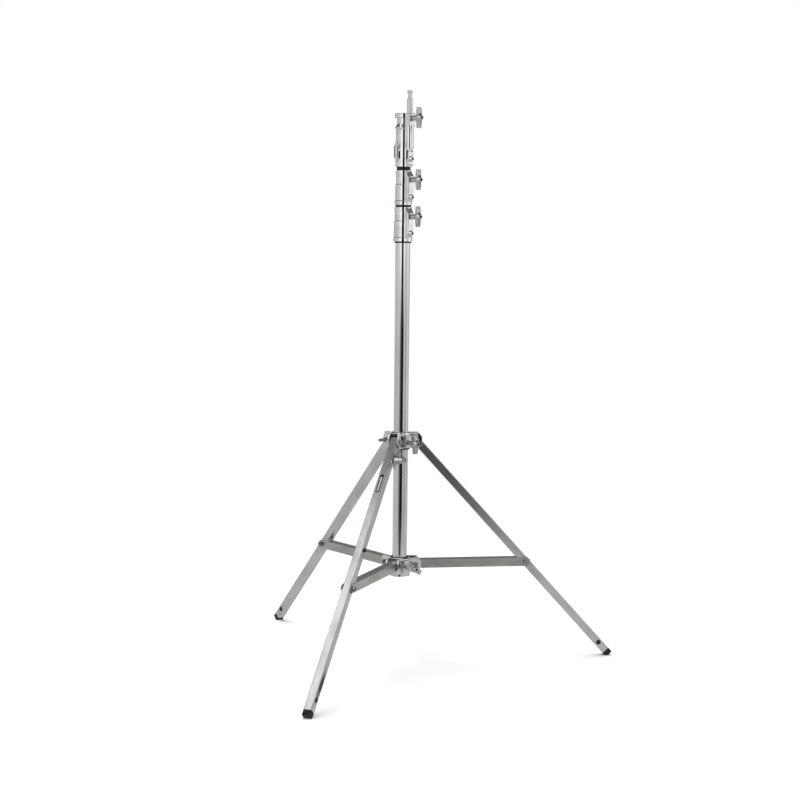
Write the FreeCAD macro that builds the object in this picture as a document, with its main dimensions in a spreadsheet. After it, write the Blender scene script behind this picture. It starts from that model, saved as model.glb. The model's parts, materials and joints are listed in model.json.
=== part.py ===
"""Steel lighting stand: a telescoping column of three tubes on a folding three-leg base.

The column axis is Z while the pieces are drawn, with the floor at Z = 0. The front leg points
along -Y and the clamp knobs face 330 degrees. At the end every piece is shifted together, so
that the origin is the middle of the stand's footprint on the floor.
Lengths are in millimetres and angles in degrees.
"""
import FreeCAD
import Part
import Sketcher
import math
import os

# ---------------------------------------------------------------- driving sizes
SIZES = {
    # telescoping tubes
    "base_tube_od": 40.0, "tube_wall": 1.8, "riser_gap": 0.7, "base_tube_length": 970.0,
    "base_tube_foot": 245.0, "riser_step": 14.0, "guide_length": 40.0,
    "plug_cap": 4.0, "plug_depth": 10.0,
    # small steps that soften turned and cast profiles
    "edge_break": 1.0, "step_rise": 2.0, "cast_step": 5.0,
    # gaps between pieces
    "running_gap": 0.08, "seat_gap": 0.02, "free_gap": 0.8, "stack_gap": 0.2, "side_gap": 0.5,
    # collars that clamp one tube on the next
    "collar_seat_wall": 4.4, "collar_guide_wall": 5.2, "collar_flare_step": 1.5,
    "collar_lip_step": 0.8, "collar_lip_height": 12.0, "collar_ring_height": 4.4,
    "collar_ring_wall": 3.0,
    "collar_flare_height": 12.0, "collar_seat_height": 42.0, "collar_guide_height": 38.0,
    "bush_depth": 10.0, "bush_wall": 2.2, "collar_1_bush_height": 6.0,
    "collar_2_bush_height": 10.0, "bush_flange": 3.9,
    # clamp blocks, brake pads and anchor bolts
    "block_stand": 13.5, "block_width": 21.0, "block_slope": 17.0, "block_edge_round": 4.0,
    "block_toe_reach": 11.0, "block_toe_height": 3.0, "block_knee_reach": 3.0,
    "block_knee_height": 12.0, "block_flat_height": 18.0, "block_inset": 4.0,
    "boss_radius": 9.5, "boss_height": 2.0, "pad_radius": 6.0, "pad_depth": 5.0,
    "knob_rise": 70.5, "collar_2_knob_drop": 4.0, "anchor_rise": 26.0,
    "collar_2_anchor_drop": 6.0, "anchor_radius": 4.0, "anchor_head_radius": 8.0,
    "anchor_head_height": 8.0, "anchor_cone": 3.2, "anchor_rim": 1.5,
    "anchor_socket_radius": 3.4, "anchor_socket_depth": 5.0,
    # T-handle screws
    "screw_radius": 5.0, "screw_gap": 0.08, "knob_stand": 3.0, "knob_neck_radius": 7.0,
    "screw_seat_depth": 6.0, "screw_tip_gap": 0.4, "knob_gap": 0.5, "wing_waist": 3.0,
    "knob_neck_length": 19.5, "wing_span": 55.0, "wing_width": 14.0, "wing_root": 11.5,
    "wing_tip": 6.5, "hub_radius": 9.5, "hub_nose": 7.0, "hub_nose_radius": 5.5,
    "knob_socket_radius": 3.2, "knob_socket_depth": 4.0, "wing_recess_depth": 1.4,
    "wing_recess_width": 8.4, "wing_edge_round": 1.5,
    # receiver on the top riser
    "receiver_flare_wall": 7.2, "receiver_body_wall": 6.6, "receiver_flange_2_wall": 10.0,
    "receiver_neck_wall": 5.0, "receiver_flange_wall": 10.7, "receiver_length": 142.0,
    "receiver_flare_height": 20.0, "receiver_band_drop": 37.0, "receiver_neck_drop": 28.0,
    "receiver_flange_drop": 11.0, "flange_edge": 1.5,
    "socket_radius": 14.3, "socket_depth": 100.0, "socket_floor": 4.0, "socket_ledge": 1.5,
    "floor_plug_depth": 14.0, "receiver_knob_drop": 14.0, "receiver_anchor_rise": 20.0,
    "receiver_block_stand": 11.5, "receiver_block_height": 36.0, "receiver_foot_height": 44.0,
    "receiver_foot_stand": 16.0, "receiver_foot_width": 19.0, "lug_width": 19.0,
    "lug_length": 53.0, "lug_stand": 7.4, "lug_rise": 40.0, "lug_chamfer": 8.0,
    "lug_recess": 1.2, "lug_shelf": 3.0, "lug_border": 2.5, "lug_rim": 2.0,
    # retractable stud
    "stud_radius": 8.0, "stud_wall": 2.2, "stud_length": 90.0, "stud_rise": 60.0,
    "stud_land": 10.0, "stud_relief": 0.2, "stud_head_edge": 0.6,
    "stud_neck_radius": 5.9, "stud_neck_length": 16.0, "stud_head_radius": 7.6,
    "stud_head_length": 6.0, "stud_sleeve_wall": 3.4, "stud_sleeve_length": 95.0,
    # leg hub
    "leg_pivot_height": 615.0, "leg_pivot_stand": 18.3, "hub_wall": 6.2, "hub_below": 18.0,
    "hub_above": 25.0, "hub_ring_height": 4.0, "hub_ring_wall": 5.0, "ear_reach": 12.5,
    "arm_toe": 11.0, "arm_knee_reach": 3.0, "arm_knee_height": 6.0, "arm_heel_height": 14.0,
    "arm_shoulder": 12.0, "arm_crown": 7.0, "hub_block_inset": 8.0,
    "ear_thickness": 5.5, "hub_bush_height": 16.0, "hub_knob_drop": 2.0,
    # brace hub
    "brace_height": 274.0, "brace_pivot_stand": 15.8, "brace_hub_below": 34.0,
    "brace_hub_above": 20.0, "brace_ear_reach": 15.6, "brace_ear_thickness": 5.0,
    "brace_ring_height": 9.0, "brace_ring_wall": 5.5, "brace_knob_drop": 6.0,
    # legs and braces
    "foot_radius": 604.0, "leg_width": 22.0, "leg_wall": 1.5, "leg_corner": 2.0,
    "leg_top": 10.0, "brace_wall": 2.0, "brace_edge_round": 1.8, "brace_depth": 24.0,
    "brace_side_gap": 0.7, "brace_end": 12.5, "brace_web_start": 2.0, "brace_web_cut": 29.0,
    "pivot_radius": 4.0, "hex_radius": 7.5, "bolt_head_height": 5.0, "nut_height": 6.5,
    "long_bolt_end": 24.0, "bolt_end": 3.0,
    # feet and leg trim
    "foot_height": 15.0, "foot_chamfer": 5.0, "foot_round": 3.0, "foot_sink": 0.5,
    "foot_plug_length": 50.0, "foot_plug_gap": 0.1, "button_rise": 32.0, "button_radius": 6.5,
    "button_height": 0.8, "label_length": 56.0, "label_width": 10.0, "label_thickness": 0.6,
    "label_place": 142.0, "bumper_place": 345.0, "bumper_radius": 5.5, "bumper_height": 4.0,
    # levelling clamp on the front leg
    "clamp_place": 56.0, "clamp_length": 30.0, "clamp_width": 19.0, "clamp_wall": 3.0,
    "clamp_corner": 4.0, "leveller_neck": 1.0, "leveller_hub": 13.5,
    "leveller_tip": 5.0,
}
LEG_AZIMUTHS = {"right": 30.0, "left": 150.0, "front": 270.0}
KNOB_AZIMUTH = 330.0
LUG_AZIMUTH = 240.0
BRACE_KNOB_TURN = 60.0
NEAR_SIDE = {"right": -1, "left": 1, "front": 1}


class Size:
    """A length with the spreadsheet formula that gives it."""

    def __init__(self, value, formula):
        self.value = value
        self.formula = formula

    def _join(self, other, sign, value, swap=False):
        left, right = (formula(other), self.formula) if swap else (self.formula, formula(other))
        return Size(value, "(%s %s %s)" % (left, sign, right))

    def __add__(self, other):
        return self._join(other, "+", self.value + number(other))

    def __radd__(self, other):
        return self._join(other, "+", self.value + number(other))

    def __sub__(self, other):
        return self._join(other, "-", self.value - number(other))

    def __rsub__(self, other):
        return self._join(other, "-", number(other) - self.value, swap=True)

    def __mul__(self, other):
        return self._join(other, "*", self.value * number(other))

    def __rmul__(self, other):
        return self._join(other, "*", self.value * number(other))

    def __truediv__(self, other):
        return self._join(other, "/", self.value / number(other))

    def __neg__(self):
        return Size(-self.value, "(0 - %s)" % self.formula)


def number(size):
    return size.value if isinstance(size, Size) else float(size)


def formula(size):
    return size.formula if isinstance(size, Size) else "%.10f" % size


# ---------------------------------------------------------------- document and sheet
doc = FreeCAD.newDocument("lighting_stand")
sheet = doc.addObject("Spreadsheet::Sheet", "Sizes")
S = {}
for row, (alias, value) in enumerate(SIZES.items(), start=1):
    sheet.set("A%d" % row, alias)
    sheet.set("B%d" % row, str(value))
    sheet.setAlias("B%d" % row, alias)
    S[alias] = Size(value, "Sizes." + alias)
doc.recompute()

V = FreeCAD.Vector
Rotation = FreeCAD.Rotation
Placement = FreeCAD.Placement
AXIS_TURNS = {
    "x": Rotation(V(0, 1, 0), 90),
    "y": Rotation(V(1, 0, 0), -90),
    "z": Rotation(),
}
PARTS = []


# ---------------------------------------------------------------- modelling helpers
def turned(azimuth, distance=0.0, height=0.0):
    """The place at a distance from the column axis, facing an azimuth."""
    return (Placement(V(0, 0, 0), Rotation(V(0, 0, 1), azimuth))
            * Placement(V(number(distance), 0, number(height)), Rotation()))


def new_body(name, place=None):
    body = doc.addObject("PartDesign::Body", name)
    body.Label = name
    if place:
        body.Placement = place
    PARTS.append(body)
    return body


def new_feature(body, kind, name):
    return body.newObject("PartDesign::" + kind, "%s_%s" % (body.Name, name))


def bind(feature, **sizes):
    for prop, size in sizes.items():
        setattr(feature, prop, number(size))
        feature.setExpression(prop, formula(size))


def set_place(feature, at, turns, azimuth):
    local = Placement(V(*[number(size) for size in at]), turns)
    feature.Placement = Placement(V(0, 0, 0), Rotation(V(0, 0, 1), azimuth)) * local
    if azimuth == 0:
        for letter, size in zip("xyz", at):
            feature.setExpression("Placement.Base." + letter, formula(size))


def cylinder(body, name, radius, length, at, axis="z", azimuth=0, cut=False):
    """A round bar or hole from the centre of its first end, along an axis."""
    feature = new_feature(body, "SubtractiveCylinder" if cut else "AdditiveCylinder", name)
    bind(feature, Radius=radius, Height=length)
    set_place(feature, at, AXIS_TURNS[axis], azimuth)
    return feature


def block(body, name, sides, at, azimuth=0, cut=False, tilt=0.0):
    """A box from one corner, its sides along X, Y and Z."""
    feature = new_feature(body, "SubtractiveBox" if cut else "AdditiveBox", name)
    bind(feature, Length=sides[0], Width=sides[1], Height=sides[2])
    set_place(feature, at, Rotation(V(0, 1, 0), tilt), azimuth)
    return feature


def outline(body, name, points, role="XZ_Plane"):
    """A closed sketch through corner points, each tied to the sheet."""
    sketch = body.newObject("Sketcher::SketchObject", "%s_%s" % (body.Name, name))
    plane = [item for item in body.Origin.OriginFeatures if item.Role == role][0]
    sketch.AttachmentSupport = (plane, [""])
    sketch.MapMode = "FlatFace"
    corners = [V(number(x), number(y), 0) for x, y in points]
    for index, corner in enumerate(corners):
        following = corners[(index + 1) % len(corners)]
        sketch.addGeometry(Part.LineSegment(corner, following), False)
    for index in range(len(points)):
        following = (index + 1) % len(points)
        sketch.addConstraint(Sketcher.Constraint("Coincident", index, 2, following, 1))
    for index, point in enumerate(points):
        for kind, size in zip(("DistanceX", "DistanceY"), point):
            rule = Sketcher.Constraint(kind, -1, 1, index, 1, number(size))
            place = sketch.addConstraint(rule)
            sketch.setExpression("Constraints[%d]" % place, formula(size))
    return sketch


def turn_profile(body, name, points, cut=False, axis="V_Axis"):
    """A turned solid, or a turned hollow, from its half section (radius, height)."""
    sketch = outline(body, name + "_section", points)
    feature = new_feature(body, "Groove" if cut else "Revolution", name)
    feature.Profile = sketch
    feature.ReferenceAxis = (sketch, [axis])
    feature.Angle = 360
    return feature


def plate(body, name, points, width, cut=False):
    """A side outline in the XZ plane, with the same width to both sides."""
    feature = new_feature(body, "Pocket" if cut else "Pad", name)
    feature.Profile = outline(body, name + "_outline", points)
    feature.SideType = "Symmetric"
    bind(feature, Length=width)
    return feature


def ring_of(body, name, features, count):
    pattern = new_feature(body, "PolarPattern", name)
    pattern.Originals = features
    axis = [item for item in body.Origin.OriginFeatures if item.Role == "Z_Axis"][0]
    pattern.Axis = (axis, [""])
    pattern.Angle = 360
    pattern.Occurrences = count
    body.Tip = pattern
    return pattern


def soften(body, name, radius, wanted, kind="Fillet"):
    """Rounds or chamfers the edges of the body's last feature that pass a test."""
    doc.recompute()
    base = body.Tip
    edges = ["Edge%d" % (index + 1) for index, edge in enumerate(base.Shape.Edges)
             if wanted(edge)]
    feature = new_feature(body, kind, name)
    feature.Base = (base, edges)
    bind(feature, **{"Size" if kind == "Chamfer" else "Radius": radius})
    return feature


def runs_along(edge, axis):
    """True for a straight edge along one of the body's axes."""
    if edge.Curve.TypeId != "Part::GeomLine":
        return False
    direction = edge.Curve.Direction
    return abs(abs(direction.dot(axis)) - 1) < 1e-6


def middle(edge):
    return edge.CenterOfMass


# ---------------------------------------------------------------- radii that follow from others
riser_1_od = S["base_tube_od"] - (S["tube_wall"] + S["riser_gap"]) * 2
riser_2_od = riser_1_od - (S["tube_wall"] + S["riser_gap"]) * 2
base_radius = S["base_tube_od"] / 2
block_reach = base_radius + S["block_stand"]
knob_start = block_reach + S["boss_height"] + S["knob_stand"]
leg_pivot_radius = base_radius + S["hub_wall"] + S["leg_pivot_stand"]
brace_pivot_radius = base_radius + S["hub_wall"] + S["brace_pivot_stand"]
stud_offset = S["socket_radius"] + S["stud_radius"] + S["stud_wall"]

# ---------------------------------------------------------------- heights up the column
base_top = S["base_tube_foot"] + S["base_tube_length"]
collar_1_foot = base_top - S["collar_seat_height"] - S["collar_flare_height"] \
    - S["collar_ring_height"]
collar_1_rest = base_top + S["collar_guide_height"] + S["collar_1_bush_height"]
collar_2_foot = collar_1_rest + S["stack_gap"]
riser_1_top = collar_2_foot + S["collar_flare_height"] + S["collar_seat_height"]
riser_1_foot = S["base_tube_foot"] + S["riser_step"]
collar_2_rest = riser_1_top + S["collar_guide_height"] + S["collar_2_bush_height"]
receiver_foot = collar_2_rest + S["stack_gap"]
receiver_top = receiver_foot + S["receiver_length"]
socket_bottom = receiver_top - S["socket_depth"]
riser_2_top = socket_bottom - S["socket_floor"]
riser_2_foot = riser_1_foot + S["riser_step"]
receiver_knob_height = receiver_top - S["receiver_knob_drop"]
receiver_anchor_height = receiver_foot + S["receiver_anchor_rise"]
leg_knob_height = S["leg_pivot_height"] - S["hub_knob_drop"]
brace_knob_height = S["brace_height"] - S["brace_knob_drop"]

# the legs run straight from their pivots to the foot circle on the floor
spread = math.atan2(SIZES["foot_radius"] - leg_pivot_radius.value, SIZES["leg_pivot_height"])
SPREAD_ANGLE = math.degrees(spread)
pivot_drop = S["leg_pivot_height"] - S["brace_height"]
joint_radius = leg_pivot_radius + pivot_drop * math.tan(spread)
joint_along_leg = pivot_drop / math.cos(spread)
brace_length = joint_radius - brace_pivot_radius
sole_lift = (S["leg_width"] / 2 - S["foot_chamfer"]) * math.sin(spread)
leg_reach = (S["leg_pivot_height"] - sole_lift + S["foot_sink"]) / math.cos(spread)
tube_end = S["foot_height"] - leg_reach
LEG_FRAME = Placement(V(leg_pivot_radius.value, 0, SIZES["leg_pivot_height"]),
                      Rotation(V(0, 1, 0), -SPREAD_ANGLE))


def leg_place(side):
    """A leg's own frame: Z up along the tube from its pivot, X out of its upper face."""
    return turned(LEG_AZIMUTHS[side]) * LEG_FRAME


# ---------------------------------------------------------------- column pieces
def round_tube(name, od, foot, top):
    body = new_body(name)
    cylinder(body, "outside", od / 2, top - foot, (0, 0, foot))
    cylinder(body, "bore", od / 2 - S["tube_wall"], top - foot, (0, 0, foot), cut=True)


def tube_guide(name, inner_od, outer_od, foot):
    """The nylon sleeve at a riser's foot that centres it in the tube around it."""
    body = new_body(name)
    bore = outer_od / 2 - S["tube_wall"]
    cylinder(body, "outside", bore - S["running_gap"], S["guide_length"], (0, 0, foot))
    cylinder(body, "bore", inner_od / 2 + S["seat_gap"], S["guide_length"], (0, 0, foot),
             cut=True)


def tube_plug():
    """The cap in the lower end of the base tube, small enough to pass the brace hub."""
    body = new_body("base_tube_plug")
    foot = S["base_tube_foot"]
    bore = S["base_tube_od"] / 2 - S["tube_wall"]
    rim = S["base_tube_od"] / 2 - S["seat_gap"]
    low, high, edge = foot - S["plug_cap"], foot + S["plug_depth"], S["flange_edge"]
    turn_profile(body, "cap", [(0, low), (rim - edge, low), (rim, low + edge), (rim, foot),
                               (bore - S["seat_gap"], foot), (bore - S["seat_gap"], high),
                               (0, high)])


def brake_pad(name, tube_radius, height):
    """The shoe between a clamp screw and a tube, hollowed to the tube's radius."""
    body = new_body(name, turned(KNOB_AZIMUTH))
    cylinder(body, "shoe", S["pad_radius"], S["pad_depth"], (tube_radius, 0, height), "x")
    cylinder(body, "hollow", tube_radius + S["running_gap"], S["pad_radius"] * 4,
             (0, 0, height - S["pad_radius"] * 2), cut=True)


def anchor_bolt(name, tip, face, height):
    """The set bolt that pins a casting to its tube, with a coned head and a hex socket."""
    body = new_body(name, turned(KNOB_AZIMUTH, 0, height))
    shank = S["anchor_radius"]
    head = S["anchor_head_radius"]
    end = face + S["anchor_head_height"]
    turn_profile(body, "bolt", [(tip, 0), (tip, shank), (face, shank), (face, head),
                                (face + S["anchor_rim"], head),
                                (end, head - S["anchor_cone"]), (end, 0)], axis="H_Axis")
    cylinder(body, "socket", S["anchor_socket_radius"], S["anchor_socket_depth"],
             (end - S["anchor_socket_depth"], 0, 0), "x", cut=True)


def clamp_block(body, foot, top, inner, reach, width):
    """The boss beside a collar that carries the clamp screw and the anchor bolt."""
    plate(body, "block", [(0, foot), (inner, foot),
                          (reach - S["block_toe_reach"], foot + S["block_toe_height"]),
                          (reach - S["block_knee_reach"], foot + S["block_knee_height"]),
                          (reach, foot + S["block_flat_height"]),
                          (reach, top - S["block_slope"]), (inner, top), (0, top)], width)
    soften(body, "block_edges", S["block_edge_round"],
           lambda edge: runs_along(edge, V(0, 0, 1))
           and abs(middle(edge).x - number(reach)) < 1e-6)


def screw_way(body, height, pad_end, face):
    """The hole for a clamp screw and, inside it, the wider seat of the brake pad."""
    cylinder(body, "pad_seat", S["pad_radius"] + S["running_gap"], pad_end, (0, 0, height),
             "x", cut=True)
    cylinder(body, "screw_hole", S["screw_radius"], face + S["boss_height"],
             (0, 0, height), "x", cut=True)


def collar(name, outer_od, inner_od, foot, ring_height, seat_top, bush_height, knob_rise,
           anchor_rise):
    """A cast collar: its lower half grips one tube and its upper half guides the next."""
    place = turned(KNOB_AZIMUTH)
    edge, rise = S["edge_break"], S["step_rise"]
    outer, inner = outer_od / 2, inner_od / 2
    seat, guide = outer + S["collar_seat_wall"], inner + S["collar_guide_wall"]
    flare, lip = seat + S["collar_flare_step"], guide + S["collar_lip_step"]
    start = foot + ring_height
    flare_top = start + S["collar_flare_height"]
    top = seat_top + S["collar_guide_height"]
    lip_foot = top - S["collar_lip_height"]
    bush_seat = top - S["bush_depth"]
    bush_radius = inner + S["bush_wall"]
    knob_height, anchor_height = foot + knob_rise, foot + anchor_rise

    body = new_body(name, place)
    turn_profile(body, "barrel", [(0, start), (flare, start), (flare, flare_top - rise),
                                  (seat, flare_top), (seat, seat_top),
                                  (guide, seat_top + rise), (guide, lip_foot),
                                  (lip, lip_foot + edge), (lip, top), (0, top)])
    clamp_block(body, start + S["block_inset"], top - edge, guide - edge, block_reach,
                S["block_width"])
    cylinder(body, "screw_boss", S["boss_radius"], S["boss_height"],
             (block_reach, 0, knob_height), "x")
    turn_profile(body, "hollow", [(0, start), (outer + S["seat_gap"], start),
                                  (outer + S["seat_gap"], seat_top),
                                  (inner + S["free_gap"], seat_top),
                                  (inner + S["free_gap"], bush_seat),
                                  (bush_radius, bush_seat), (bush_radius, top), (0, top)],
                 cut=True)
    screw_way(body, knob_height, inner + S["pad_depth"], block_reach)
    cylinder(body, "anchor_hole", S["anchor_radius"], block_reach,
             (0, 0, anchor_height), "x", cut=True)

    bush = new_body(name + "_bush", place)
    flange = inner + S["bush_flange"]
    slide = inner + S["running_gap"]
    turn_profile(bush, "bush", [(slide, bush_seat), (bush_radius - S["seat_gap"], bush_seat),
                                (bush_radius - S["seat_gap"], top), (flange, top),
                                (flange, top + bush_height - edge),
                                (flange - edge, top + bush_height),
                                (slide, top + bush_height)])
    brake_pad(name + "_brake_pad", inner, knob_height)
    anchor_bolt(name + "_anchor_bolt", outer + S["seat_gap"] * 2, block_reach, anchor_height)
    t_knob(name, turned(KNOB_AZIMUTH, 0, knob_height),
           inner + S["pad_depth"] + S["screw_tip_gap"], knob_start)


def collar_ring():
    """The black ring under the lower collar."""
    body = new_body("collar_1_ring")
    bore = base_radius + S["seat_gap"]
    rim = base_radius + S["collar_ring_wall"]
    low, high = collar_1_foot, collar_1_foot + S["collar_ring_height"]
    turn_profile(body, "ring", [(bore, low), (rim - S["edge_break"], low),
                                (rim, low + S["edge_break"]), (rim, high), (bore, high)])


# ---------------------------------------------------------------- T-handle clamp screws
def t_knob(name, place, tip, start, neck=None, straight=None):
    """A cast T-handle on a steel screw; X runs out along the screw and Z along the wings."""
    neck = neck or S["knob_neck_length"]
    edge = S["edge_break"]
    root = start + neck
    face = root + S["wing_root"]
    shoulder = face + straight if straight else face
    nose = shoulder + S["hub_nose"]
    half, waist = S["wing_span"] / 2, S["hub_radius"] - S["wing_waist"]
    tip_face = face - (S["wing_root"] - S["wing_tip"]) / 2
    low = tip_face - S["wing_tip"]

    body = new_body(name + "_knob", place)
    plate(body, "wings", [(root, -waist), (low, -half), (tip_face, -half), (face, -waist),
                          (face, waist), (tip_face, half), (low, half), (root, waist)],
          S["wing_width"])
    soften(body, "wing_edges", S["wing_edge_round"], lambda edge: True)
    hub = [(start, 0), (start, S["knob_neck_radius"]), (root, S["knob_neck_radius"]),
           (root + edge, S["hub_radius"]), (shoulder, S["hub_radius"]),
           (nose, S["hub_nose_radius"]), (nose, 0)]
    turn_profile(body, "hub", hub, axis="H_Axis")
    fall = (face - tip_face) / (half - waist)
    for label, side in (("upper", 1), ("lower", -1)):
        corners = []
        for along in (S["hub_radius"] + edge, half - S["block_inset"]):
            level = face - (along - waist) * fall
            corners.append([(level - S["wing_recess_depth"], along * side),
                            (level + S["wing_root"], along * side)])
        near, far = corners
        plate(body, label + "_recess", near + far[::-1], S["wing_recess_width"], cut=True)
    cylinder(body, "hex_socket", S["knob_socket_radius"], S["knob_socket_depth"],
             (nose - S["knob_socket_depth"], 0, 0), "x", cut=True)
    cylinder(body, "screw_seat", S["screw_radius"], neck + S["screw_seat_depth"],
             (start, 0, 0), "x", cut=True)

    screw = new_body(name + "_screw", place)
    radius = S["screw_radius"] - S["screw_gap"]
    end = root + S["screw_seat_depth"] - edge
    turn_profile(screw, "screw", [(tip, 0), (tip, radius - edge), (tip + edge, radius),
                                  (end, radius), (end, 0)], axis="H_Axis")


# ---------------------------------------------------------------- receiver and stud
def receiver():
    foot, top = receiver_foot, receiver_top
    place = turned(KNOB_AZIMUTH)
    body = new_body("receiver", place)
    edge, rise, round_edge = S["edge_break"], S["step_rise"], S["flange_edge"]
    reach = stud_offset + S["receiver_block_stand"]
    foot_reach = riser_2_od / 2 + S["receiver_foot_stand"]
    flare = riser_2_od / 2 + S["receiver_flare_wall"]
    wide = riser_2_od / 2 + S["receiver_body_wall"]
    band = S["socket_radius"] + S["receiver_flange_2_wall"]
    neck = S["socket_radius"] + S["receiver_neck_wall"]
    flange = S["socket_radius"] + S["receiver_flange_wall"]
    flare_top = foot + S["receiver_flare_height"]
    band_foot = top - S["receiver_band_drop"]
    flange_foot = top - S["receiver_flange_drop"]
    turn_profile(body, "barrel", [(0, foot), (flare, foot), (flare, flare_top),
                                  (wide, flare_top + rise), (wide, band_foot - S["cast_step"]),
                                  (band, band_foot - rise), (band, band_foot),
                                  (neck, top - S["receiver_neck_drop"]),
                                  (neck, flange_foot - rise), (flange, flange_foot),
                                  (flange, top - round_edge), (flange - round_edge, top),
                                  (0, top)])
    cylinder(body, "stud_sleeve", S["stud_radius"] + S["stud_sleeve_wall"],
             S["stud_sleeve_length"], (stud_offset, 0, top - S["stud_sleeve_length"]))
    low, cut = top - S["receiver_block_height"], S["block_inset"]
    plate(body, "top_block", [(neck / 2, low), (reach - cut, low), (reach, low + cut),
                              (reach, top - cut + edge), (reach - cut + edge, top),
                              (neck / 2, top)], S["block_width"])
    low, high, cut = foot + rise, foot + S["receiver_foot_height"], S["cast_step"]
    plate(body, "foot_block", [(0, low), (foot_reach - cut, low), (foot_reach, low + cut),
                               (foot_reach, high - cut), (foot_reach - cut, high), (0, high)],
          S["receiver_foot_width"])
    cylinder(body, "screw_boss", S["boss_radius"], S["boss_height"],
             (reach, 0, receiver_knob_height), "x")
    soften(body, "block_edges", S["block_edge_round"] / 2,
           lambda edge: runs_along(edge, V(0, 0, 1))
           and middle(edge).x > foot_reach.value - SIZES["edge_break"])
    side_lug(body, foot + S["lug_rise"], wide + S["lug_stand"])

    tube_bore = riser_2_od / 2 + S["seat_gap"]
    ledge = S["socket_radius"] - S["socket_ledge"]
    turn_profile(body, "hollow", [(0, foot), (tube_bore, foot), (tube_bore, riser_2_top),
                                  (ledge, riser_2_top), (ledge, socket_bottom),
                                  (S["socket_radius"], socket_bottom),
                                  (S["socket_radius"], top), (0, top)], cut=True)
    stud_foot = top - (S["stud_length"] - S["stud_rise"])
    floor = stud_foot - S["stud_rise"] - rise
    cylinder(body, "stud_bore", S["stud_radius"] + S["running_gap"], top - floor,
             (stud_offset, 0, floor), cut=True)
    cylinder(body, "pad_window", S["pad_radius"] + S["running_gap"], stud_offset,
             (0, 0, receiver_knob_height), "x", cut=True)
    cylinder(body, "screw_hole", S["screw_radius"], reach,
             (stud_offset, 0, receiver_knob_height), "x", cut=True)
    cylinder(body, "anchor_hole", S["anchor_radius"], foot_reach,
             (0, 0, receiver_anchor_height), "x", cut=True)

    shoe = new_body("receiver_shoe", place)
    gap, tall = S["running_gap"], S["pad_radius"] * 4
    shoe_foot = receiver_knob_height - S["pad_radius"] * 2
    cylinder(shoe, "shoe", S["pad_radius"], stud_offset - ledge, (ledge, 0, receiver_knob_height),
             "x")
    cylinder(shoe, "socket_side", S["socket_radius"] + gap, tall, (0, 0, shoe_foot), cut=True)
    cylinder(shoe, "stud_side", S["stud_radius"] + gap * 2, tall, (stud_offset, 0, shoe_foot),
             cut=True)

    floor_plug = new_body("socket_floor_plug")
    inside = riser_2_od / 2 - S["tube_wall"] - S["seat_gap"]
    low, rim = riser_2_top - S["floor_plug_depth"], ledge - S["seat_gap"]
    turn_profile(floor_plug, "plug", [(0, low), (inside, low), (inside, riser_2_top),
                                      (rim, riser_2_top), (rim, socket_bottom),
                                      (0, socket_bottom)])
    anchor_bolt("receiver_anchor_bolt", tube_bore + S["seat_gap"], foot_reach,
                receiver_anchor_height)
    t_knob("receiver", turned(KNOB_AZIMUTH, 0, receiver_knob_height),
           stud_offset + S["stud_radius"] + S["screw_tip_gap"],
           reach + S["boss_height"] + S["knob_gap"])
    stud(stud_foot)


def side_lug(body, height, reach):
    """The long cast pad on the receiver's side, an octagon with a sunk middle."""
    turn = LUG_AZIMUTH - KNOB_AZIMUTH
    half, chamfer = S["lug_width"] / 2, S["lug_chamfer"]
    low, high = height - S["lug_length"] / 2, height + S["lug_length"] / 2
    shelf, border = reach - S["lug_shelf"], S["lug_border"]
    rim = border + S["lug_rim"]
    block(body, "lug", (shelf, S["lug_width"], S["lug_length"] - chamfer * 2),
          (0, -half, low + chamfer), azimuth=turn)
    for label, foot in (("low", low), ("high", high - chamfer * 2)):
        block(body, label + "_lug_end", (shelf, S["lug_width"] - chamfer, chamfer * 2),
              (0, -half + chamfer / 2, foot), azimuth=turn)
    block(body, "lug_face", (reach, S["lug_width"] - border * 2,
                             S["lug_length"] - (chamfer + border) * 2),
          (0, -half + border, low + chamfer + border), azimuth=turn)
    block(body, "lug_recess", (S["lug_recess"], S["lug_width"] - rim * 2,
                               S["lug_length"] - (chamfer + rim) * 2),
          (reach - S["lug_recess"], -half + rim, low + chamfer + rim), azimuth=turn, cut=True)


def stud(foot):
    """The sliding stud beside the socket: a guiding land, a relieved shank and a neck."""
    body = new_body("stud", turned(KNOB_AZIMUTH, stud_offset))
    top, edge = foot + S["stud_length"], S["edge_break"]
    radius, neck, head = S["stud_radius"], S["stud_neck_radius"], S["stud_head_radius"]
    relief, small = radius - S["stud_relief"], S["stud_head_edge"]
    land, bright = foot + S["stud_land"], receiver_top + edge
    head_foot = top - S["stud_head_length"]
    shoulder = head_foot - S["stud_neck_length"]
    turn_profile(body, "stud", [(0, foot), (radius - edge, foot), (radius, foot + edge),
                                (radius, land), (relief, land), (relief, bright),
                                (radius, bright), (radius, shoulder - edge),
                                (radius - edge, shoulder), (neck, shoulder),
                                (neck, head_foot - edge), (neck + edge, head_foot),
                                (head - small, head_foot), (head, head_foot + small),
                                (head, top - edge), (head - edge, top), (0, top)])


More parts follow.
